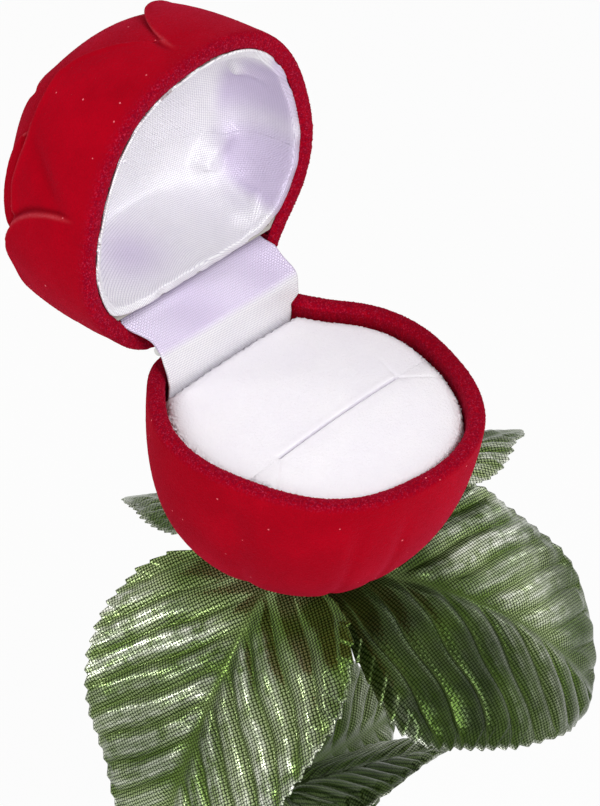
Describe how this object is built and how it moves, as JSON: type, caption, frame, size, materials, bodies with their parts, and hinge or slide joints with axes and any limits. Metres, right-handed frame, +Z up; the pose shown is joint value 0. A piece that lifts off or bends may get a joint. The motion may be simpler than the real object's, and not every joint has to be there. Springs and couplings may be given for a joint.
{
  "type": "rose ring box",
  "caption": "Artificial rose whose red flocked head opens on a hinge to hold a ring in a white pad, with a satin-lined lid, cloth leaves and a stem.",
  "frame": {"origin": "centre of the stem's cut end", "axes": "+Z up along the stem, X along the lid hinge, -Y towards the front where the lid opens"},
  "size_m": [0.1024, 0.0947, 0.2732],
  "materials": {
    "red_flock": "short dense flock, matt with soft sheen",
    "white_flock": "short white flock over foam",
    "satin": "woven satin with a silky sheen",
    "hinge_metal": "nickel-plated sheet",
    "spring_steel": "blue-grey tempered strip",
    "grey_card": "grey board",
    "stem_green": "semi-matt coat with fine draw lines",
    "wire_steel": "bare drawn wire",
    "rib_green": "pale green moulding",
    "leaf_cloth": "glossy woven cloth with embossed veins"
  },
  "bodies": {
    "base": {"base_shell": "red_flock", "hinge_leaf_base": "hinge_metal", "hinge_pin": "hinge_metal", "snap_spring": "spring_steel", "hinge_band": "satin", "ring_pad": "white_flock", "pad_card": "grey_card", "stem_sleeve": "stem_green", "stem_wire": "wire_steel", "calyx": "stem_green", "upper_leaf_hub": "rib_green", "lower_leaf_hub": "rib_green", "leaf_front_left": "leaf_cloth", "leaf_front_left_rib": "rib_green", "leaf_front_right": "leaf_cloth", "leaf_front_right_rib": "rib_green", "leaf_back_right": "leaf_cloth", "leaf_back_right_rib": "rib_green", "leaf_back_left": "leaf_cloth", "leaf_back_left_rib": "rib_green", "lower_leaf_right": "leaf_cloth", "lower_leaf_right_rib": "rib_green", "lower_leaf_front": "leaf_cloth", "lower_leaf_front_rib": "rib_green", "lower_leaf_left": "leaf_cloth", "lower_leaf_left_rib": "rib_green"},
    "lid": {"lid_shell": "red_flock", "hinge_leaf_lid": "hinge_metal", "lid_former": "grey_card", "lid_lining": "satin"}
  },
  "joints": [
    {"name": "lid_hinge", "type": "hinge", "parent": "base", "child": "lid", "pos_m": [0, 0.0211, 0.2272], "axis": [1, 0, 0], "range_deg": [0, 98], "deforming": ["snap_spring", "hinge_band"]}
  ]
}
